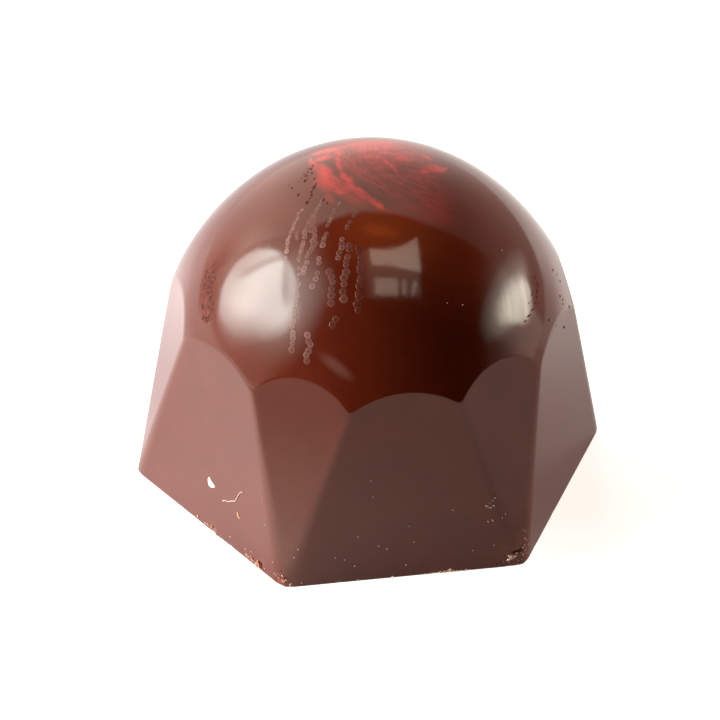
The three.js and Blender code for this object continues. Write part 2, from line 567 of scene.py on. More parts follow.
def tempered_chocolate(colours):
    """Glossy dark chocolate with the swirl on it, dull where it is chipped or scraped."""
    material, recipe = new_material("tempered_chocolate")
    place = recipe.millimetres()
    clouds = recipe.ease(recipe.noise(place, *CLOUDS), 0.3, 0.7)
    grain = recipe.noise(place, *GRAIN)
    x, _, z = recipe.parts(place)
    # Painted shade: the lower part of the dome's right front is darkened towards the painted-shade colour
    painted_shade_mask = recipe.times(
        recipe.attribute("dome"), recipe.within(x, -2, 4, 5.5, 8.5), recipe.ease(z, 18.5, 15.5)
    )
    paint, film, tail, amber, bristles = swirl(recipe, place)
    top = recipe.ease(z, 15, 17)
    paint = recipe.times(paint, top)
    strand = recipe.ease(bristles, 0.42, 0.72)
    red = recipe.blend(strand, shade(colours.red_paint), shade(colours.coral_paint))
    red = recipe.blend(tail, red, shade(colours.orange_paint))
    smear = smeared(recipe, place)
    scuff = recipe.attribute("scuff")
    ragged = recipe.times(scuff, recipe.ease(grain, 0.25, 0.6, 0.35, 1))
    skin = shade(colours.chocolate)
    for cover, tone in (
        (clouds, shade(colours.chocolate_warm)),
        (painted_shade_mask, shade(colours.chocolate_painted_shade)),
        (recipe.times(amber, top), shade(colours.amber_film)),
        (recipe.times(film, top), shade(colours.red_film)),
        (paint, red),
        (recipe.times(smear, SMEAR_COVER), shade(colours.bubble)),
        (ragged, shade(colours.broken)),
    ):
        skin = recipe.blend(cover, skin, tone)
    gloss = recipe.ease(grain, 0.35, 0.75, *GLOSS)
    for mark, dulling in ((paint, PAINT_DULLING), (ragged, CHIP_DULLING), (smear, SMEAR_DULLING)):
        gloss = recipe.scaled(mark, dulling, gloss)
    relief = recipe.scaled(recipe.times(bristles, paint), 1.2, recipe.noise(place, *RIPPLE))
    relief = recipe.scaled(recipe.times(grain, scuff), 6, relief)
    recipe.surface(
        base_color=skin, roughness=gloss, ior=CHOCOLATE_IOR, specular_tint=BUTTER_TINT,
        normal=recipe.bump(0.5, SHELL_RELIEF, relief),
    )
    return material


def bubble_skin(colours):
    """Chocolate under the cocoa butter film of burst bubbles, its pale rims partly painted highlight."""
    material, recipe = new_material("bubble_skin")
    film = recipe.attribute("film")
    tone = recipe.blend(film, shade(colours.chocolate), shade(colours.bubble))
    gloss = recipe.ease(film, 0, 1, 0.20, 0.42)
    recipe.surface(base_color=tone, roughness=gloss, ior=CHOCOLATE_IOR, specular_tint=BUTTER_TINT)
    return material


def pit_shade_and_highlight(colours):
    """Painted shade inside a small pit, with a painted highlight on its rim."""
    material, recipe = new_material("pit_shade_and_highlight")
    film = recipe.attribute("film")
    tone = recipe.blend(recipe.ease(film, 0.3, 0.8), shade(colours.pit_painted_highlight), shade(colours.pit_painted_shade))
    recipe.surface(base_color=tone, roughness=0.7, specular_ior_level=0.12)
    return material


def speckled(name, main, other, roughness, scale):
    """A dull crumbly finish between two colours."""
    material, recipe = new_material(name)
    grain = recipe.noise(recipe.millimetres(), scale, 3, 0.6)
    tone = recipe.blend(recipe.ease(grain, 0.35, 0.65), shade(main), shade(other))
    recipe.surface(base_color=tone, roughness=roughness, normal=recipe.bump(0.6, CRUMB_RELIEF, grain))
    return material


def darker(chosen, share):
    """A colour at a share of its brightness."""
    return tuple(part * share for part in chosen)


# Pieces

def mesh_of(name, mesh_maker):
    """The mesh of a finished bmesh."""
    mesh = bpy.data.meshes.new(name)
    mesh_maker.to_mesh(mesh)
    mesh_maker.free()
    return mesh


def in_scene(name, data):
    """A new object in the scene."""
    made = bpy.data.objects.new(name, data)
    bpy.context.scene.collection.objects.link(made)
    return made


def finish_piece(name, mesh_maker, material, smooth=True):
    """Makes a piece's object of a finished bmesh, riding on the body."""
    for face in mesh_maker.faces:
        face.smooth = smooth
    mesh = mesh_of(name, mesh_maker)
    mesh.materials.append(material)
    piece = in_scene(name, mesh)
    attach(piece, BODY)
    return piece


UNDERSIDE_ROWS = 14
WALL_ROWS = 46
DOME_ROWS = 70
DOME_CROWDING = 1.5  # rows lie closer together near the arches


def pressed_place(form, angle, arch, row):
    """Where the mould presses a row of the blank: underside, wall up to the arch, then the dome."""
    if row < UNDERSIDE_ROWS:
        share = math.sin(math.pi / 2 * row / UNDERSIDE_ROWS)
        outer = form.radius(angle, 0) * share
        return Vector((outer * math.cos(angle), outer * math.sin(angle), 0))
    row -= UNDERSIDE_ROWS
    if row < WALL_ROWS:
        return form.place(angle, arch * (1 - math.cos(math.pi * row / WALL_ROWS)) / 2)
    row -= WALL_ROWS
    low = math.asin((arch - form.sizes.dome_centre) / form.half_height)
    rise = low + (math.pi / 2 - low) * (row / DOME_ROWS) ** DOME_CROWDING
    height = form.sizes.dome_centre + form.half_height * math.sin(rise)
    return form.place(angle, height) if row < DOME_ROWS else Vector((0, 0, form.sizes.height))


CHIPS = (  # heading in degrees from the front, height, reach and depth in millimetres
    (-37.9, 0.50, 0.30, 0.06),
    (-31.0, 0.35, 0.45, 0.09),
    (27.8, 0.90, 0.55, 0.05),
    (30.2, 1.40, 0.50, 0.04),
    (28.4, 1.25, 1.60, 0.03),
    (-58.0, 0.15, 0.50, 0.06),
    (9.0, 0.05, 0.50, 0.05),
    (118.0, 0.20, 0.60, 0.14),
    (205.0, 0.10, 0.60, 0.12),
)
NIBBLE_REACH = 0.45 * MM  # height of the worn zone along the base's edge
NIBBLE_DEPTH = 0.06 * MM
NIBBLE_WAVES = (0.9 * MM, 0.3 * MM)  # lengths of the coarse and the fine bites
NIBBLE_START = 0.22  # how strong a bite has to be before it shows
CHIP_GRAIN = 0.22 * MM  # size of the lumps in a chip
CHIP_STEEPNESS = 2.2
DULL_DEPTH = 0.12 * MM  # the shell is wholly dull where it is worn as deep as this


def worn(form, point, chips):
    """A surface point pushed in where the shell is worn, and how chipped it is there."""
    out = Vector((point.x, point.y, 0))
    if out.length < form.sizes.edge_radius:
        return point, 0.0
    out.normalize()
    push = 0.0
    for centre, reach, depth in chips:
        near = 1 - (point - centre).length / reach
        if near > 0:
            ragged = 0.65 + 0.7 * noise.noise(point / CHIP_GRAIN)
            push += depth * min(near * CHIP_STEEPNESS, 1) * ragged
    if point.z < NIBBLE_REACH:
        coarse, fine = (noise.noise(point / wave) for wave in NIBBLE_WAVES)
        bite = coarse + 0.5 * fine - NIBBLE_START
        worn_side = 0.35 + 0.65 * max(-out.x - out.y, 0) / math.sqrt(2)
        push += NIBBLE_DEPTH * max(bite, 0) * 2 * (1 - point.z / NIBBLE_REACH) * worn_side
    return point - out * push, min(push / DULL_DEPTH, 1)


class PRALINE_OT_shell(bpy.types.Operator):
    """Press the chocolate shell out of a round blank: its facets, dome, worn foot and red swirl"""

    bl_idname = "praline.shell"
    bl_label = "Moulded shell"

    def execute(self, context):
        form = mould()
        columns = form.sizes.columns
        step = 2 * math.pi / columns
        arches = [form.arch_height(column * step) for column in range(columns)]
        chips = [
            (form.place(FRONT + math.radians(heading), height * MM), reach * MM, depth * MM)
            for heading, height, reach, depth in CHIPS
        ]
        rows = UNDERSIDE_ROWS + WALL_ROWS + DOME_ROWS
        blank = bmesh.new()
        bmesh.ops.create_uvsphere(blank, u_segments=columns, v_segments=rows, radius=1)
        scuff = blank.verts.layers.float.new("scuff")
        dome = blank.verts.layers.float.new("dome")
        for vert in blank.verts:
            column = round(math.atan2(vert.co.y, vert.co.x) / step) % columns
            row = round(rows * (1 - math.acos(max(min(vert.co.z, 1), -1)) / math.pi))
            place = pressed_place(form, column * step, arches[column], row)
            vert.co, vert[scuff] = worn(form, place, chips)
            vert[dome] = float(row > UNDERSIDE_ROWS + WALL_ROWS)
        bmesh.ops.recalc_face_normals(blank, faces=blank.faces[:])
        shell = finish_piece("praline_shell", blank, tempered_chocolate(context.scene.praline_colours))
        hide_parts("praline")
        return {"FINISHED"}


BUBBLE_OUTLINE = (  # across and up in shares of a bubble's radius, and how much pale film lies there, partly painted highlight
    (0.0, -0.25, 0.0),
    (0.85, -0.25, 0.0),
    (1.0, -0.010, 0.0),
    (0.88, -0.0035, 0.48),
    (0.68, 0.0, 0.80),
    (0.40, 0.0015, 0.42),
    (0.0, 0.002, 0.28),
)
PIT_OUTLINE = (  # the same for a pit, with the share of painted shade in its mouth in place of the film
    (0.0, -0.25, 0.0),
    (0.85, -0.25, 0.0),
    (1.0, -0.006, 0.0),
    (0.80, 0.008, 0.0),
    (0.62, 0.010, 1.0),
    (0.0, 0.012, 1.0),
)
BEAD_STEPS = 10
BUBBLE_SPACING = 1.72  # from one bubble to the next, in shares of a radius
BUBBLES_LEFT_OUT = 0.05  # share of the bubbles that are missing from a row
BUBBLE_STRAY = 0.035  # how far a bubble strays from its row, in millimetres
BUBBLE_FLATNESS = 0.8  # the most that a bubble rises, in shares of its outline
BUBBLE_SEED = 5
TRACKS = (  # a row's first and last radius in millimetres, its strength, and plan places along it
    (0.14, 0.17, 0.9, (-4.71, -2.09), (-5.10, -2.60), (-5.55, -3.28), (-5.91, -4.03), (-6.10, -4.70)),
    (0.12, 0.15, 0.5, (-5.30, -5.20), (-5.49, -6.01), (-5.64, -6.79), (-5.82, -7.33), (-6.00, -7.62)),
    (0.18, 0.24, 0.8, (-6.04, -7.71), (-6.20, -8.19), (-6.17, -8.61), (-6.40, -9.03), (-6.62, -9.23)),
    (0.11, 0.19, 0.8, (-3.40, -1.94), (-3.96, -2.62), (-4.47, -3.24), (-4.79, -3.76), (-4.96, -4.47),
     (-5.21, -4.82)),
    (0.11, 0.16, 0.7, (-3.65, -2.21), (-3.88, -2.56), (-4.20, -3.29), (-4.43, -3.67)),
    (0.18, 0.21, 0.8, (-4.25, -4.00), (-4.45, -4.93), (-4.74, -5.13), (-4.85, -5.66), (-5.17, -5.87),
     (-5.18, -6.34)),
    (0.22, 0.24, 0.8, (-5.36, -8.85), (-5.30, -9.09), (-5.36, -9.35), (-5.60, -9.60), (-5.55, -9.95)),
    (0.11, 0.20, 0.8, (-2.53, -2.59), (-3.08, -3.45), (-3.44, -3.96), (-3.55, -4.46), (-3.82, -4.87),
     (-3.99, -5.14)),
    (0.20, 0.22, 0.8, (-4.24, -5.74), (-4.38, -6.41), (-4.70, -6.78), (-4.91, -7.13)),
    (0.22, 0.25, 0.42, (-3.74, -6.65), (-3.64, -7.08), (-3.72, -7.59), (-3.88, -7.99), (-3.98, -8.25)),
    (0.17, 0.21, 0.7, (-2.72, -5.13), (-2.85, -5.55), (-3.15, -6.02), (-3.07, -6.35)),
    (0.20, 0.27, 0.5, (-2.40, -5.61), (-2.60, -6.24), (-2.85, -6.99), (-3.15, -7.87), (-3.23, -8.43)),
    (0.12, 0.18, 0.6, (-4.24, -2.99), (-4.48, -3.16), (-4.80, -3.86), (-4.96, -4.51), (-5.25, -4.86),
     (-5.35, -5.30)),
    (0.12, 0.19, 0.6, (-3.98, -2.81), (-4.15, -3.34), (-4.30, -4.11), (-4.25, -4.79), (-4.75, -5.12),
     (-5.10, -5.83)),
    (0.14, 0.15, 0.5, (-4.39, -3.58), (-4.48, -3.75), (-4.58, -3.98)),
    (0.14, 0.15, 0.4, (-5.20, -3.60), (-5.38, -4.14)),
    (0.22, 0.26, 0.22, (-3.47, -8.87), (-4.22, -9.12)),
    (0.11, 0.15, 0.5, (-1.59, -3.66), (-1.90, -3.83), (-2.11, -4.10), (-2.40, -4.60)),
    (0.17, 0.23, 0.14, (-1.87, -5.89), (-1.93, -6.66), (-2.04, -7.36), (-2.22, -8.09), (-2.41, -8.93)),
)
PINHOLES = (  # plan places and radii in millimetres of the dark pits beside the swirl and on the right
    (-3.48, 1.72, 0.09), (-3.62, 1.42, 0.10), (-3.86, 1.22, 0.08), (-4.02, 0.86, 0.11),
    (-3.66, 0.92, 0.08), (-4.17, 0.34, 0.12), (-3.62, 0.20, 0.09), (-4.74, -0.74, 0.11),
    (-4.98, 0.18, 0.08), (-3.76, -0.62, 0.13), (-3.98, -0.98, 0.10), (-4.02, -1.28, 0.10),
    (-4.36, -1.72, 0.13), (-3.42, -2.00, 0.09), (-3.24, -2.36, 0.07),
    (-3.75, 1.55, 0.06), (-4.10, 1.10, 0.06), (-4.30, 0.75, 0.06), (-3.95, 0.55, 0.06),
    (-4.50, 0.50, 0.05),
    (-3.60, -0.40, 0.07), (-3.85, -0.80, 0.08), (-4.15, -1.50, 0.07), (-5.10, 0.60, 0.05),
    (11.60, -3.97, 0.09), (10.90, -5.80, 0.09),
    (10.70, -2.96, 0.08), (11.00, -2.84, 0.06), (11.15, -3.10, 0.08), (10.91, -4.29, 0.09),
    (11.10, -4.25, 0.07), (11.06, -4.53, 0.07), (9.74, -6.58, 0.09),
)
PIT_STRETCH = 1.5  # the pinholes are drawn out along the tracks
PIT_TURN = 59  # degrees from the way across
SCRATCHES = (  # plan place, half length and half width in millimetres, and turn in degrees
    (9.15, -4.95, 0.20, 0.10, -72), (9.22, -5.30, 0.24, 0.14, -85), (9.12, -5.72, 0.26, 0.12, -98),
    (9.02, -6.12, 0.22, 0.09, -105), (8.86, -6.50, 0.24, 0.06, -112), (8.62, -6.95, 0.26, 0.05, -118),
    (8.30, -7.42, 0.24, 0.05, -124), (7.98, -7.84, 0.20, 0.04, -128), (8.92, -5.50, 0.20, 0.03, -92),
    (8.70, -6.20, 0.22, 0.03, -106), (8.40, -6.80, 0.22, 0.03, -116),
)
NOTCHES = (  # heading in degrees from the front, height, half length, half width in millimetres, and turn
    (28.7, 1.02, 0.44, 0.08, 7), (29.9, 1.05, 0.16, 0.07, 20), (-37.75, 0.50, 0.17, 0.055, -62),
    (29.7, 2.53, 0.07, 0.05, 0), (29.1, 2.72, 0.06, 0.05, 30), (24.9, 0.47, 0.10, 0.06, 0),
    (23.8, 0.33, 0.12, 0.05, 10), (-29.9, 0.66, 0.14, 0.06, 30), (-31.0, 1.08, 0.08, 0.04, 60),
)
CRAZED = (-75.4, 15.1, 4.6, 1.25)  # heading, height and half spans of the crumbled patch on the left
CRAZED_LEAN = -5.5  # degrees that it turns for each millimetre upwards
CRAZED_PITS = 150
CRAZED_SIZES = (0.06, 0.15)  # half widths of its pits in millimetres


def crazed_seats(form, draw):
    """Seats of the small ragged pits that crowd the crumbled patch."""
    heading, height, half_turn, half_rise = CRAZED
    seats = []
    for _ in range(CRAZED_PITS):
        turn = draw.uniform(0, 2 * math.pi)
        reach = math.sqrt(draw.random()) * draw.uniform(0.8, 1.1)
        up = half_rise * reach * math.sin(turn)
        around = heading + half_turn * reach * math.cos(turn) + CRAZED_LEAN * up
        size = draw.uniform(*CRAZED_SIZES)
        shape = laid(size * draw.uniform(1, 1.7), size, draw.uniform(0, 180))
        seats.append((form.seat_at(around, height + up) @ shape, draw.uniform(0.3, 1.0)))
    return seats


def bead_blank(name, outline):
    """A low round bead, closed underneath, with the film's thickness on its vertices."""
    bead = bmesh.new()
    film = bead.verts.layers.float.new("film")
    line = []
    for across, up, cover in outline:
        vert = bead.verts.new((across, 0, up))
        vert[film] = cover
        line.append(vert)
    edges = [bead.edges.new(pair) for pair in zip(line, line[1:])]
    bmesh.ops.spin(
        bead, geom=line + edges, cent=(0, 0, 0), axis=(0, 0, 1), dvec=(0, 0, 0),
        angle=2 * math.pi, steps=BEAD_STEPS, use_merge=True,
    )
    bmesh.ops.remove_doubles(bead, verts=bead.verts[:], dist=0.001)
    bmesh.ops.recalc_face_normals(bead, faces=bead.faces[:])
    return mesh_of(name, bead)


def set_beads(name, blank, places, material):
    """A piece of many beads, each with its own seat and strength of film."""
    beads = bmesh.new()
    for seat, strength in places:
        beads.from_mesh(blank)
        film = beads.verts.layers.float["film"]
        made = list(beads.verts)[-len(blank.vertices):]
        for vert in made:
            vert[film] *= strength
        bmesh.ops.transform(beads, matrix=seat, verts=made)
    bpy.data.meshes.remove(blank)
    finish_piece(name, beads, material)


def laid(half_length, half_width, degrees):
    """A bead's shape: drawn out to two half lengths in millimetres and turned in its seat."""
    turn = Matrix.Rotation(math.radians(degrees), 4, "Z")
    return turn @ Matrix.Diagonal((half_length * MM, half_width * MM, half_width * MM, 1))


def bubble_row(form, draw, first, last, strength, *route):
    """Seats and strengths of the film for bubbles that nearly touch along a route on the dome."""
    row = []
    walked = 0.0
    points = [form.dome_seat(*stop).translation for stop in route]
    spans = [(end - start).length for start, end in zip(points, points[1:])]
    whole = sum(spans)
    while walked < whole:
        radius = (first + (last - first) * walked / whole) * draw.uniform(0.85, 1.12) * MM
        left = walked
        step = 0
        while left > spans[step]:
            left -= spans[step]
            step += 1
        across, ahead = (
            start + (end - start) * left / spans[step] + draw.gauss(0, BUBBLE_STRAY)
            for start, end in zip(route[step], route[step + 1])
        )
        if draw.random() > BUBBLES_LEFT_OUT:
            shape = Matrix.Diagonal((radius, radius, radius * min(strength, BUBBLE_FLATNESS), 1))
            row.append((form.dome_seat(across, ahead) @ shape, strength * draw.uniform(0.45, 1.0)))
        walked += BUBBLE_SPACING * radius * draw.uniform(0.85, 1.2)
    return row


class PRALINE_OT_bubbles(bpy.types.Operator):
    """Set the rows of burst bubbles on the dome, and the pits, scratches and notches, dark with painted
    shade
    """

    bl_idname = "praline.bubbles"
    bl_label = "Bubbles and pits"

    def execute(self, context):
        draw = random.Random(BUBBLE_SEED)
        colours = context.scene.praline_colours
        form = mould()
        rings = [bubble for track in TRACKS for bubble in bubble_row(form, draw, *track)]
        set_beads("bubble_tracks", bead_blank("bubble", BUBBLE_OUTLINE), rings, bubble_skin(colours))
        # The pits, scratches, notches and the crumbled patch's pits are low beads: their dark is painted
        # shade, their paler rims painted highlight
        dashes = [(x, y, radius * PIT_STRETCH, radius, PIT_TURN) for x, y, radius in PINHOLES]
        pits = [
            (form.dome_seat(across, ahead) @ laid(*shape), 1.0)
            for across, ahead, *shape in (*dashes, *SCRATCHES)
        ]
        pits += [(form.seat_at(heading, height) @ laid(*shape), 1.0) for heading, height, *shape in NOTCHES]
        pits += crazed_seats(form, draw)
        set_beads("pinholes", bead_blank("pit", PIT_OUTLINE), pits, pit_shade_and_highlight(colours))
        return {"FINISHED"}


SHARD_SIDES = 6
SHARD_SCALE = 1.2
SHARD_TOP = 0.6  # width of a shard's top in shares of its foot
SHARD_WARP = (0.7, 1.25)  # how far its corners are pulled in or out
SHARD_TILT = 0.3
CRUMB_SEED = 11
# Heading in degrees from the front, height, half length and half width in millimetres, and turn
BASE_CRUMBS = (
    (-38.6, 0.46, 0.22, 0.09, -58), (-38.15, 0.25, 0.20, 0.10, -48), (-39.2, 0.28, 0.22, 0.11, -20),
    (-38.9, 0.16, 0.14, 0.09, 40),
    (-41.1, 0.42, 0.15, 0.09, -35), (-41.7, 0.50, 0.09, 0.05, -30), (-42.4, 0.36, 0.12, 0.05, -25),
    (-43.1, 0.40, 0.16, 0.06, -28), (-30.5, 0.78, 0.12, 0.07, -20), (-30.2, 0.45, 0.12, 0.09, 15),
    (-29.6, 0.55, 0.08, 0.06, 0), (-31.5, 0.52, 0.06, 0.05, 0), (-28.6, 0.25, 0.08, 0.04, 50),
    (-64.4, 0.38, 0.14, 0.08, -25), (-58.1, 0.41, 0.12, 0.10, 0), (-60.0, 0.36, 0.09, 0.06, -25),
    (-61.0, 0.30, 0.10, 0.05, -25), (-56.1, 0.15, 0.14, 0.06, -25), (-54.9, 0.12, 0.12, 0.05, -25),
    (117.0, 0.25, 0.18, 0.11, 20), (118.2, 0.40, 0.09, 0.06, -30), (204.0, 0.18, 0.13, 0.09, 10),
    (168.0, 0.12, 0.10, 0.06, 0),
)
CORNER_FLAKES = (  # the same for the pale flakes at the right front corner and along the front edge
    (26.9, 0.84, 0.16, 0.09, -20), (27.9, 0.76, 0.13, 0.09, 30), (26.5, 0.58, 0.12, 0.07, 40),
    (28.4, 0.97, 0.08, 0.05, 30), (27.3, 0.66, 0.14, 0.07, 10), (27.0, 0.72, 0.09, 0.07, 60),
    (5.6, 0.12, 0.08, 0.05, 0), (6.9, 0.11, 0.10, 0.05, 0), (8.3, 0.12, 0.12, 0.06, 5),
    (9.7, 0.13, 0.10, 0.07, 0),
    (10.8, 0.14, 0.12, 0.07, 0), (11.8, 0.17, 0.13, 0.09, 20), (12.3, 0.26, 0.12, 0.09, 65),
    (12.9, 0.16, 0.15, 0.09, 0), (14.0, 0.14, 0.12, 0.07, 0), (15.1, 0.13, 0.12, 0.06, 5),
    (16.3, 0.12, 0.10, 0.06, 0), (17.3, 0.12, 0.08, 0.05, 0), (-12.4, 0.13, 0.06, 0.09, 20),
    (-3.3, 0.15, 0.07, 0.08, 0),
)
SPECKS = (  # the same for the pale pink specks on the facets
    (21.7, 4.68, 0.11, 0.07, -25), (22.4, 4.55, 0.13, 0.05, 5), (23.3, 4.65, 0.05, 0.09, 20),
    (22.3, 4.88, 0.05, 0.05, 0), (23.0, 5.03, 0.09, 0.03, 5), (23.7, 5.19, 0.05, 0.05, 0),
    (23.0, 3.59, 0.15, 0.05, -62), (21.9, 3.54, 0.10, 0.05, -35), (25.3, 3.68, 0.03, 0.07, -15),
    (26.2, 3.90, 0.02, 0.06, 0), (23.2, 1.74, 0.05, 0.03, 40), (18.1, 1.51, 0.07, 0.03, 40),
    (31.6, 2.14, 0.06, 0.07, 30), (31.0, 2.30, 0.05, 0.04, 0), (34.1, 1.54, 0.05, 0.06, 0),
    (31.1, 1.72, 0.07, 0.05, -40), (31.6, 1.55, 0.06, 0.04, -60), (30.8, 1.28, 0.11, 0.04, 55),
    (30.2, 1.18, 0.09, 0.05, 15), (30.9, 0.92, 0.10, 0.04, 60), (30.1, 0.70, 0.08, 0.06, 20),
    (31.3, 0.62, 0.05, 0.03, 0), (29.6, 0.86, 0.06, 0.03, 20), (32.4, 1.10, 0.04, 0.04, 0),
    (-32.3, 0.63, 0.05, 0.05, 0), (-32.9, 0.66, 0.05, 0.04, 0), (-33.3, 0.50, 0.04, 0.04, 0),
    (-31.9, 0.80, 0.04, 0.03, 0), (-29.8, 1.70, 0.04, 0.05, 0), (-33.6, 1.36, 0.04, 0.05, 0),
    (-27.2, 2.75, 0.05, 0.07, 0), (-28.0, 2.18, 0.05, 0.05, 0), (-26.1, 0.34, 0.03, 0.06, 0),
    (-19.4, 0.16, 0.03, 0.06, 20), (-16.1, 1.72, 0.07, 0.05, 0), (-18.4, 1.94, 0.05, 0.05, 0),
    (-50.2, 0.75, 0.06, 0.05, 0), (-43.8, 0.77, 0.07, 0.06, 0), (-9.5, 7.27, 0.05, 0.05, 0),
    (-8.9, 6.10, 0.05, 0.05, 0), (1.1, 3.76, 0.05, 0.04, 0), (-12.7, 3.31, 0.06, 0.05, 0),
    (2.5, 2.55, 0.05, 0.06, 0), (-7.1, 2.50, 0.06, 0.05, 0), (-4.9, 2.23, 0.07, 0.06, 30),
    (-13.4, 1.20, 0.07, 0.05, 0), (0.3, 0.91, 0.05, 0.06, 0), (13.0, 4.60, 0.05, 0.05, 0),
    (-38.0, 5.28, 0.06, 0.07, 0), (-36.9, 3.56, 0.06, 0.06, 0), (18.8, 17.20, 0.05, 0.05, 0),
    (24.3, 16.90, 0.05, 0.05, 0), (55.3, 17.90, 0.05, 0.06, 0), (150.0, 5.20, 0.06, 0.05, 0),
    (176.0, 3.10, 0.05, 0.06, 0), (-142.0, 2.40, 0.07, 0.05, 20), (-168.0, 6.30, 0.05, 0.05, 0),
)
# Heading in degrees from the front, height and spread in millimetres, and count of fine grains
GRAIN_SPOTS = (
    (-40.5, 0.30, 0.35, 16), (-30.8, 0.40, 0.30, 14), (27.6, 0.55, 0.35, 8), (-59.0, 0.18, 0.60, 10),
    (-49.0, 0.10, 0.90, 10), (117.4, 0.25, 0.40, 8),
)
GRAIN_SIZE = 0.05  # the largest grain's half length in millimetres


def add_shard(shards, draw, seat, half_length, half_width, degrees):
    """One angular shard, lying flat in its seat."""
    made = bmesh.ops.create_cone(
        shards, cap_ends=True, segments=SHARD_SIDES, radius1=1, radius2=SHARD_TOP, depth=1
    )["verts"]
    for vert in made:
        vert.co.x *= draw.uniform(*SHARD_WARP)
        vert.co.y *= draw.uniform(*SHARD_WARP)
        vert.co.z += draw.uniform(-SHARD_TILT, SHARD_TILT)
    shape = laid(half_length * SHARD_SCALE, half_width * SHARD_SCALE, degrees)
    bmesh.ops.transform(shards, matrix=seat @ shape, verts=made)


class PRALINE_OT_crumbs(bpy.types.Operator):
    """Scatter the crumbs along the base's edge, the flakes at its corner and the specks on the facets"""

    bl_idname = "praline.crumbs"
    bl_label = "Crumbs and specks"

    def execute(self, context):
        colours = context.scene.praline_colours
        form = mould()
        draw = random.Random(CRUMB_SEED)
        around = form.sizes.across_flats / 2 / MM
        grains = []
        for heading, height, spread, count in GRAIN_SPOTS:
            for _ in range(count):
                turned = heading + math.degrees(draw.gauss(0, spread) / around)
                size = GRAIN_SIZE * draw.uniform(0.4, 1)
                rise = max(height + draw.gauss(0, spread / 2), size)
                grains.append((turned, rise, size, size * draw.uniform(0.5, 1), draw.uniform(0, 180)))
        tan = speckled("fresh_crumb", colours.crumb, colours.dust, roughness=0.5, scale=7)
        cream = speckled("cream_flake", colours.cream, colours.dust, roughness=0.4, scale=7)
        pink = speckled("pale_dust", colours.dust, darker(colours.dust, 0.6), roughness=0.6, scale=8)
        for name, material, shapes in (
            ("base_crumbs", tan, (*BASE_CRUMBS, *grains)),
            ("corner_flakes", cream, CORNER_FLAKES),
            ("facet_specks", pink, SPECKS),
        ):
            shards = bmesh.new()
            for heading, height, *shape in shapes:
                add_shard(shards, draw, form.seat_at(heading, height), *shape)
            finish_piece(name, shards, material, smooth=False)
        return {"FINISHED"}


LEFT_FACET = math.radians(-60)  # heading of the side facet that the shavings lie on


def facet_seat(form, across, height):
    """A frame on the left side facet, in millimetres across from its middle line and up."""
    apothem = form.facet(0, height * MM)[1]
    return form.seat(FRONT + LEFT_FACET + math.atan2(across * MM, apothem), height * MM)


FLAKE = ((0.05, 3.46), (0.38, 0.24, 0.05), 1.3, -30)  # place on the facet, half sizes, bow and turn
SLIVER = ((2.88, 2.73), (0.22, 0.075, 0.05), 0.2, -46)  # the same for the golden sliver
FLAKE_FINENESS = 3
CURL_START = (1.33, 2.93)  # across the left facet and up, in millimetres
CURL_SPAN = (1.90, 1.75)
CURL_RADIUS = 0.04
CURL_TAPER = 0.7
CURL_LIFT = 0.6  # height of the curl's middle above the facet, in shares of its radius
CURL_SIDES = 8
CURL_CUTS = 40
CURL_BEND = (0.56, 0.34)  # where along the curl its steep rise starts, and how long it is
CURL_STEEP_SHARE = 0.4  # how much of the whole rise it takes
CURL_WAVE = 0.04
CURL_LOOK_AHEAD = 0.01  # share of the length that gives the curl its slope


def lay_flake(name, finish, form, place, half, bow, degrees):
    """A thin flake, bowed into a crescent and laid flat on the left facet."""
    flake = bmesh.new()
    bmesh.ops.create_icosphere(flake, subdivisions=FLAKE_FINENESS, radius=1)
    bmesh.ops.transform(flake, matrix=Matrix.Diagonal((*half, 1)), verts=flake.verts[:])
    for vert in flake.verts:
        vert.co.y += bow * vert.co.x ** 2
    lay = facet_seat(form, *place) @ Matrix.Rotation(math.radians(degrees), 4, "Z") @ Matrix.Scale(MM, 4)
    bmesh.ops.transform(flake, matrix=lay, verts=flake.verts[:])
    finish_piece(name, flake, finish)


def curl_route(share):
    """Across and up along the curl: level first, then a rise, then level again with a small wave."""
    start, span = CURL_BEND
    bend = min(max((share - start) / span, 0), 1)
    rise = (1 - CURL_STEEP_SHARE) * share + CURL_STEEP_SHARE * bend * bend * (3 - 2 * bend)
    wave = CURL_WAVE * math.sin(5 * math.pi * share) * (1 - share)
    across = CURL_START[0] + CURL_SPAN[0] * share
    return across, CURL_START[1] + CURL_SPAN[1] * rise + wave


def lay_curl(finish, form):
    """A thin rod, cut into short lengths and drawn along the curl's route."""
    curl = bmesh.new()
    bmesh.ops.create_cone(
        curl, cap_ends=True, segments=CURL_SIDES, depth=1,
        radius1=CURL_RADIUS, radius2=CURL_RADIUS * CURL_TAPER,
    )
    upright = [edge for edge in curl.edges if abs(edge.verts[0].co.z - edge.verts[1].co.z) > 0.5]
    bmesh.ops.subdivide_edges(curl, edges=upright, cuts=CURL_CUTS, use_grid_fill=True)
    for vert in curl.verts:
        share = min(max(vert.co.z + 0.5, 0), 1)
        across, up = curl_route(share)
        ahead = curl_route(share + CURL_LOOK_AHEAD)
        slope = math.atan2(ahead[1] - up, ahead[0] - across)
        seat = facet_seat(form, across, up) @ Matrix.Rotation(slope, 4, "Z")
        vert.co = seat @ Vector((0, vert.co.x * MM, (vert.co.y + CURL_RADIUS * CURL_LIFT) * MM))
    bmesh.ops.recalc_face_normals(curl, faces=curl.faces[:])
    finish_piece("pale_curl", curl, finish)


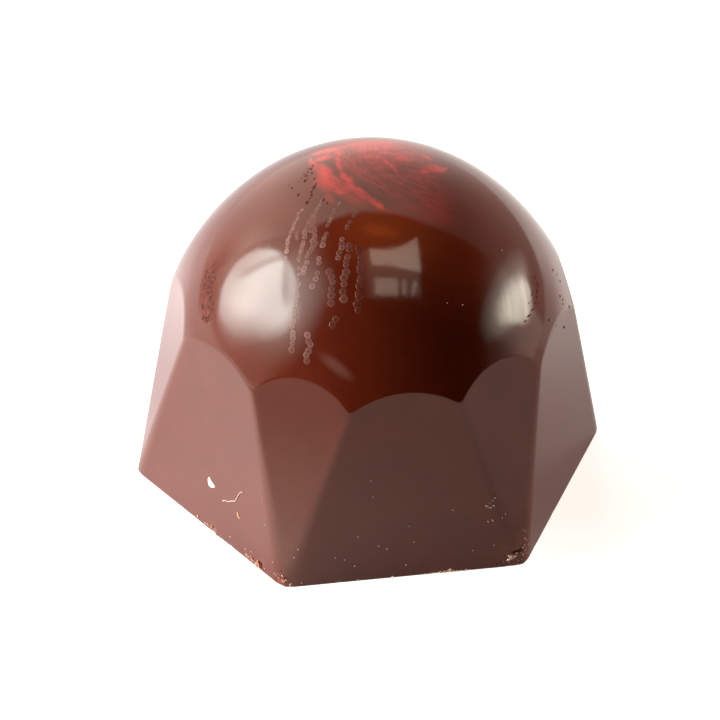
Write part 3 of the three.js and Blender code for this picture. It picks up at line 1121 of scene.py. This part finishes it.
class PRALINE_OT_shavings(bpy.types.Operator):
    """Lay the white flake, the golden sliver and the thin curl on the left facet"""

    bl_idname = "praline.shavings"
    bl_label = "Flake, sliver and curl"

    def execute(self, context):
        colours = context.scene.praline_colours
        form = mould()
        off_white = darker(colours.flake, 0.85)
        white = speckled("white_flake", colours.flake, off_white, roughness=0.45, scale=5)
        lay_flake("white_flake", white, form, *FLAKE)
        gold = speckled("gold_sliver", colours.sliver, colours.crumb, roughness=0.4, scale=6)
        lay_flake("golden_slivers", gold, form, *SLIVER)
        pale = speckled("pale_curl", colours.curl, darker(colours.curl, 0.8), roughness=0.5, scale=4)
        lay_curl(pale, form)
        return {"FINISHED"}


# Stage

def beyond_strut(recipe, u, v, across, strut, beyond):
    """Brightness across a softbox's strut: full on one side, dim at the strut and partly lit beyond it."""
    off = recipe.slope(u, v, *across)
    far = recipe.ease(off, -0.08, -0.04, beyond, strut)
    share = recipe.between(recipe.ease(off, -0.005, 0.03), far, 1)
    return recipe.between(recipe.ease(v, -0.02, 0.14), 1, share)


def left_cloth(recipe, u, v):
    """The large softbox: round with a softer side, two struts, a fade downwards and a glow beside it."""
    skew = recipe.slope(u, v, 0.6, -0.8)
    inner = recipe.ease(skew, -0.1, 0.4, 0.42, 0.34)
    outer = recipe.ease(skew, -0.1, 0.4, 0.48, 0.62)
    disc = recipe.ease(recipe.span(recipe.less(u, 0.025), v), inner, outer, 1, 0)
    fade = recipe.ease(recipe.slope(u, v, 0.05, -1), 0.10, 0.48, 1, 0.12)
    side = recipe.ease(u, -0.44, 0.0, 0.45, 1)
    left_strut = beyond_strut(recipe, u, v, (0.789, -0.614, 0.216), 0.5, 0.78)
    right_strut = beyond_strut(recipe, u, v, (-0.84, -0.542, 0.291), 0.55, 0.70)
    box = recipe.times(disc, fade, side, left_strut, right_strut)
    beside = recipe.times(recipe.ease(u, 0.0, 0.3), recipe.ease(u, 0.35, 0.92, 0.255, 0))
    return recipe.most(box, recipe.times(beside, recipe.within(v, -0.7, 0.05, 0.2, 0.9)))


def right_cloth(recipe, u, v):
    """The small softbox: soft above, sharper below, with folds in its cloth and a glow above it."""
    inner = recipe.ease(v, -0.3, 0.2, 0.36, 0.15)
    outer = recipe.ease(v, -0.3, 0.2, 0.50, 0.56)
    lifted = recipe.scaled(recipe.most(v, 0), 0.4, recipe.ease(v, -0.25, 0.15, 0, 0.12))
    aside = recipe.times(recipe.total(u, lifted), recipe.ease(v, -0.4, 0.1, 1.35, 1.1))
    reach = recipe.span(aside, v)
    across = recipe.joined(recipe.slope(u, v, 0.855, -0.526))
    folds = recipe.ease(recipe.noise(across, 9, 2, 0.6), 0.35, 0.65, 0.62, 1.1)
    halo = recipe.times(recipe.ease(reach, 0.35, 0.95, 0.24, 0), recipe.ease(v, -0.35, 0))
    return recipe.scaled(recipe.ease(reach, inner, outer, 1, 0), folds, halo)


def upper_pane(recipe, u, v):
    """The large pane overhead: slanted at its sill, arched above and crossed by a thin bar."""
    sides = recipe.ease(recipe.size(u), 0.49, 0.52, 1, 0)
    aside = recipe.total(u, 0.2)
    arch = recipe.scaled(recipe.times(aside, aside), 1.19, recipe.less(0.262, v))
    bar = recipe.size(recipe.slope(u, v, 0.335, 1, -0.225))
    sill = recipe.ease(recipe.slope(u, v, 0.25, 1, 0.5), 0, 0.07)
    return recipe.times(sides, sill, recipe.ease(arch, 0, 0.05), recipe.ease(bar, 0.01, 0.03, 0.5, 1))


def lower_pane(recipe, u, v):
    """The pane below it, with a soft edge to the left and below."""
    sides = recipe.within(u, -0.55, -0.38, 0.46, 0.52)
    return recipe.times(sides, recipe.within(v, -0.56, -0.22, 0.48, 0.56), 0.75)


def narrow_pane(recipe, u, v):
    """A narrow strip of a pane."""
    sides = recipe.ease(recipe.size(u), 0.35, 0.5, 0.7, 0)
    return recipe.times(sides, recipe.within(v, -0.52, -0.3, 0.4, 0.52))


def plain_sheet(recipe, u, v):
    """An evenly lit sheet."""
    return 1.0


def ceiling_glow(recipe, u, v):
    """The dim ceiling round the panes."""
    sides = recipe.within(u, -0.5, -0.28, 0.41, 0.46)
    return recipe.times(sides, recipe.within(v, -0.5, -0.36, 0.42, 0.5))


COOL = (0.87, 0.95, 1.0)
WARM = (1.0, 0.96, 0.88)
PANE_TINT = (1.0, 0.84, 0.76)
# What the gloss shows: name, setting, tint, heading, rise, width, height, roll, spread and face
LAMPS = (
    ("softbox_left", "left_light", COOL, -98.5, 28, 1.08, 0.72, 28, (2.0, 2.0), left_cloth),
    ("softbox_right", "right_light", WARM, 95.0, 13.8, 0.68, 0.29, -10, (2.0, 2.0), right_cloth),
    ("pane_upper", "pane_light", PANE_TINT, 44.8, 75.6, 0.457, 0.245, -45, (1.1, 1.75), upper_pane),
    ("pane_lower", "pane_light", PANE_TINT, 6.5, 62.7, 0.226, 0.166, -13, (1.15, 1.15), lower_pane),
    ("pane_strip", "pane_light", PANE_TINT, 26.1, 59.7, 0.042, 0.145, -33, (1.1, 1.1), narrow_pane),
    ("pane_slanted", "pane_light", PANE_TINT, 34.7, 57.0, 0.039, 0.149, -48, (1.1, 1.1), narrow_pane),
    ("ceiling", "ceiling_light", PANE_TINT, 20.5, 69.7, 0.62, 0.50, -20.5, (1.0, 1.0), ceiling_glow),
)
FILLS = (  # what lights the colour: name, brightness, heading and rise in degrees, width and height
    ("fill_left", 33, -91, 8, 0.66, 0.26),
    ("fill_left_back", 24, -122, 8, 0.40, 0.26),
    ("fill_above", 3, -125, 38, 0.50, 0.50),
    ("fill_right", 25, 115, 8, 0.60, 0.26),
    ("fill_back", 34, 180, 9, 0.40, 0.26),
    ("fill_corner", 6, 60, 8, 0.40, 0.26),
)
FILL_DISTANCE = 2.5  # far enough to light the whole floor evenly
LIGHT_DISTANCE = 0.5
AIM_HEIGHT = 11 * MM
AREA_LIGHT_SHARE = math.pi  # watts for each square metre of an area light at a brightness of 1


def direction(heading, rise):
    """The way towards a heading, from -Y towards +X, and a rise above the horizon."""
    return Vector((
        math.sin(heading) * math.cos(rise),
        -math.cos(heading) * math.cos(rise),
        math.sin(rise),
    ))


def dress_light(light, face, spread):
    """Shapes a light's face, on a sheet that is larger than it by the spread."""
    light.use_nodes = True
    recipe = Recipe(light.node_tree)
    place = recipe.add("ShaderNodeNewGeometry").outputs["Parametric"]
    centred = recipe.vector("SUBTRACT", place, (0.5, 0.5, 0))
    u, v, _ = recipe.parts(recipe.vector("MULTIPLY", centred, (*spread, 1)))
    emission = recipe.add("ShaderNodeEmission", {"Strength": face(recipe, u, v)})
    recipe.add("ShaderNodeOutputLight", {"Surface": emission.outputs[0]})


def hang_light(name, brightness, tint, distance, heading, rise, width, height, roll, spread, face):
    """An area light that faces the praline, with its width and height in shares of its distance."""
    light = bpy.data.lights.new(name, "AREA")
    light.shape = "RECTANGLE"
    light.size = width * spread[0] * distance
    light.size_y = height * spread[1] * distance
    light.energy = brightness * AREA_LIGHT_SHARE * light.size * light.size_y
    light.color = tint
    dress_light(light, face, spread)
    lamp = in_scene(name, light)
    away = direction(math.radians(heading), math.radians(rise))
    turn = away.to_track_quat("Z", "Y").to_matrix() @ Matrix.Rotation(math.radians(roll), 3, "Z")
    lamp.location = away * distance + Vector((0, 0, AIM_HEIGHT))
    lamp.rotation_euler = turn.to_euler()
    return lamp


ROOM_TINT = (1.0, 0.96, 0.90, 1.0)


def hang_backdrop(settings):
    """A white backdrop behind the praline, dim walls beside it, and plain white for the camera."""
    world = bpy.data.worlds.new("studio")
    world.use_nodes = True
    bpy.context.scene.world = world
    recipe = Recipe(world.node_tree)
    x, y, z = recipe.parts(recipe.add("ShaderNodeTexCoord").outputs["Generated"])
    aside = recipe.most(recipe.less(-0.55, x), 0)
    turned = recipe.total(y, recipe.ease(x, -0.1, 0.75, 0, 0.16))
    behind = recipe.ease(recipe.scaled(aside, -1.35, turned), 0.30, 0.37)
    far_left = recipe.ease(z, 0.12, 0.46, 0.5, 1.95)
    near_left = recipe.ease(z, 0, 0.45, 0.8, 1.2)
    corner = recipe.between(recipe.ease(x, -0.75, -0.55), far_left, near_left)
    middle = recipe.ease(z, 0.2, 0.45, 1.3, 1.05)
    far_right = recipe.ease(z, 0.15, 0.85, 0.8, 0.35)
    opposite = recipe.between(recipe.ease(x, 0.3, 0.7), middle, far_right)
    rising = recipe.between(recipe.ease(x, -0.6, 0.0), corner, opposite)
    glow = recipe.ease(x, -0.95, 0.85, settings.backdrop_left, settings.backdrop_right)
    left = recipe.times(
        recipe.ease(x, -0.30, -0.80, 0.0, settings.left_wall), recipe.ease(y, -0.58, -0.3, 0.12, 1),
        recipe.between(recipe.ease(y, -0.1, 0.2), 1, recipe.ease(z, 0.08, 0.3, 1.1, 2.7)),
    )
    near_foot = recipe.ease(recipe.size(recipe.total(y, 0.12)), 0.08, 0.4, 2, 0)
    far_foot = recipe.times(recipe.within(y, 0.05, 0.28, 0.45, 0.62), 1.4)
    foot = recipe.times(recipe.ease(z, 0.11, 0.03), recipe.total(near_foot, far_foot))
    left = recipe.scaled(foot, recipe.ease(x, -0.5, -0.8), left)
    right = recipe.times(
        recipe.ease(x, 0.77, 0.99, 0.0, settings.right_wall), recipe.ease(y, -0.42, -0.1, 0.35, 1),
        recipe.ease(z, 0.25, 0.6, 1, 0.3),
    )
    lit = recipe.between(behind, recipe.total(left, right), recipe.times(glow, rising))
    room = recipe.add("ShaderNodeBackground", {"Color": ROOM_TINT, "Strength": lit})
    plain = recipe.add("ShaderNodeBackground", {"Color": (1, 1, 1, 1), "Strength": 1})
    shaders = {0: recipe.seen(), 1: room.outputs[0], 2: plain.outputs[0]}
    either = recipe.add("ShaderNodeMixShader", shaders)
    recipe.add("ShaderNodeOutputWorld", {"Surface": either.outputs[0]})


FLOOR_HALF = 0.45
FLOOR_GAP = 0.02 * MM  # the floor lies this far under the praline
FLOOR_POOLS = (  # painted brighter and dimmer pools of light in the glow: place and reach in millimetres, and strength
    (-26, -24, 31, 0.65),
    (-19, 11, 16, -0.8),
)
FLOOR_TINT = (1.0, 0.94, 0.86, 1.0)  # the glow on the right
FLOOR_DIMMEST = 0.12  # share of the glow at the front right
PAINTED_SHADOW = -0.3  # the painted soft shadow on the right: what it takes from the glow
FLOOR_LIFT = 0.65  # glow that the camera alone sees, so that the floor is as white as the backdrop


def lay_floor(settings):
    """A wide pale floor just under the praline, glowing with painted light and a painted soft shadow."""
    sheet = bmesh.new()
    bmesh.ops.create_grid(sheet, x_segments=8, y_segments=8, size=FLOOR_HALF)
    bmesh.ops.translate(sheet, verts=sheet.verts[:], vec=(0, 0, -FLOOR_GAP))
    mesh = mesh_of("floor", sheet)
    material, recipe = new_material("pale_floor")
    x, y, _ = recipe.parts(recipe.millimetres())
    away = recipe.span(x, y)
    slant = recipe.scaled(x, -0.6, y)
    glow = recipe.ease(slant, -40, 25, FLOOR_DIMMEST * settings.floor_glow, settings.floor_glow)
    straight = recipe.scaled(recipe.size(x), -0.8, y)
    behind = recipe.ease(straight, 8, 60, 1, recipe.ease(x, -40, 0, 0.95, 0.72))
    painted_shadow = recipe.times(recipe.ease(x, 4, 12), recipe.ease(away, 27, 17))
    glow = recipe.times(glow, behind, recipe.scaled(painted_shadow, PAINTED_SHADOW, 1))
    for across, ahead, reach, strength in FLOOR_POOLS:
        pool = recipe.span(recipe.less(x, across), recipe.less(y, ahead))
        glow = recipe.total(glow, recipe.ease(pool, 0, reach, strength, 0))
    to_left = recipe.math("DIVIDE", recipe.slope(x, y, -0.866, -0.5), away)
    left = recipe.times(
        recipe.ease(x, -5, -13, 0, 1.05), recipe.ease(y, -30, -14), recipe.ease(to_left, -0.15, 0.25),
        recipe.ease(away, 55, 120, 1, 0.5),
    )
    behind_left = recipe.ease(recipe.slope(x, y, -1, -0.6), 0, 25, 0, 0.2)
    back_left = recipe.times(behind_left, recipe.ease(y, 0, 15))
    to_right = recipe.math("DIVIDE", recipe.slope(x, y, 0.866, -0.5), away)
    back_right = recipe.times(
        recipe.ease(x, 20, 45, 0, 0.95), recipe.ease(y, -8, 12), recipe.ease(to_right, 0.12, 0.65),
        recipe.ease(away, 45, 110, 1, 0.4),
    )
    front = recipe.times(recipe.ease(y, -6, -15, 0, 0.18), recipe.ease(x, 4, 14, 1, 0.6))
    glow = recipe.total(glow, left, back_left, front, back_right)
    glow = recipe.scaled(recipe.seen(), FLOOR_LIFT, glow)
    tint = recipe.blend(recipe.ease(x, -5, 12), (1, 1, 1, 1), FLOOR_TINT)
    recipe.surface(
        base_color=shade(settings.floor), roughness=1.0, specular_ior_level=0.0,
        emission_color=tint, emission_strength=glow,
    )
    mesh.materials.append(material)
    floor = in_scene("floor", mesh)


AIM = Vector((-0.666 * MM, 0.116 * MM, 7.05 * MM))  # the point in the middle of the picture
SENSOR_WIDTH = 36  # millimetres
NEAREST_SEEN = 0.01


def place_camera(settings):
    """The camera at the photograph's viewing angle."""
    lens = bpy.data.cameras.new("camera")
    lens.sensor_width = SENSOR_WIDTH
    lens.lens = settings.camera_lens
    lens.clip_start = NEAREST_SEEN
    camera = in_scene("camera", lens)
    back = direction(settings.camera_turn, settings.camera_rise)
    seat = seated(AIM + back * settings.camera_distance, back, (0, 0, 1))
    camera.matrix_world = seat @ Matrix.Rotation(settings.camera_roll, 4, "Z")
    bpy.context.scene.camera = camera


class PRALINE_OT_studio(bpy.types.Operator):
    """Set up the pale floor, the soft lights and the camera"""

    bl_idname = "praline.studio"
    bl_label = "Studio"

    def execute(self, context):
        settings = context.scene.praline_studio
        context.scene.view_settings.view_transform = "Standard"
        place_camera(settings)
        lay_floor(settings)
        hang_backdrop(settings)
        for name, setting, tint, *shape in LAMPS:
            lamp = hang_light(name, getattr(settings, setting), tint, LIGHT_DISTANCE, *shape)
            lamp.visible_diffuse = False
        for name, brightness, *shape in FILLS:
            fill = brightness * settings.fill_light
            plain = {"roll": 0, "spread": (1, 1), "face": plain_sheet}
            lamp = hang_light(name, fill, (1, 1, 1), FILL_DISTANCE, *shape, **plain)
            lamp.visible_glossy = False
        return {"FINISHED"}


# Panel and registration

OPERATORS = (
    PRALINE_OT_studio,
    PRALINE_OT_shell,
    PRALINE_OT_bubbles,
    PRALINE_OT_crumbs,
    PRALINE_OT_shavings,
)
GROUPS = {
    "praline_mould": MouldSizes,
    "praline_colours": PralineColours,
    "praline_studio": StudioSettings,
}


class PRALINE_PT_maker(bpy.types.Panel):
    """The praline's sizes and colours, and the steps that make it"""

    bl_idname = "PRALINE_PT_maker"
    bl_label = "Chocolate praline"
    bl_space_type = "VIEW_3D"
    bl_region_type = "UI"
    bl_category = "Praline"

    def draw(self, context):
        for group, kind in GROUPS.items():
            box = self.layout.box()
            for name in kind.__annotations__:
                box.prop(getattr(context.scene, group), name)
        for operator in OPERATORS:
            self.layout.operator(operator.bl_idname)


def register():
    for kind in (*GROUPS.values(), *OPERATORS, PRALINE_PT_maker):
        bpy.utils.register_class(kind)
    for name, kind in GROUPS.items():
        setattr(bpy.types.Scene, name, PointerProperty(type=kind))


def unregister():
    for name in GROUPS:
        delattr(bpy.types.Scene, name)
    for kind in reversed((*GROUPS.values(), *OPERATORS, PRALINE_PT_maker)):
        bpy.utils.unregister_class(kind)


def main():
    """Registers the add-on and makes the praline and its studio."""
    register()
    bpy.ops.praline.studio()
    bpy.ops.praline.shell()
    bpy.ops.praline.bubbles()
    bpy.ops.praline.crumbs()
    bpy.ops.praline.shavings()
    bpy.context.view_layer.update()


if __name__ == "__main__":
    main()
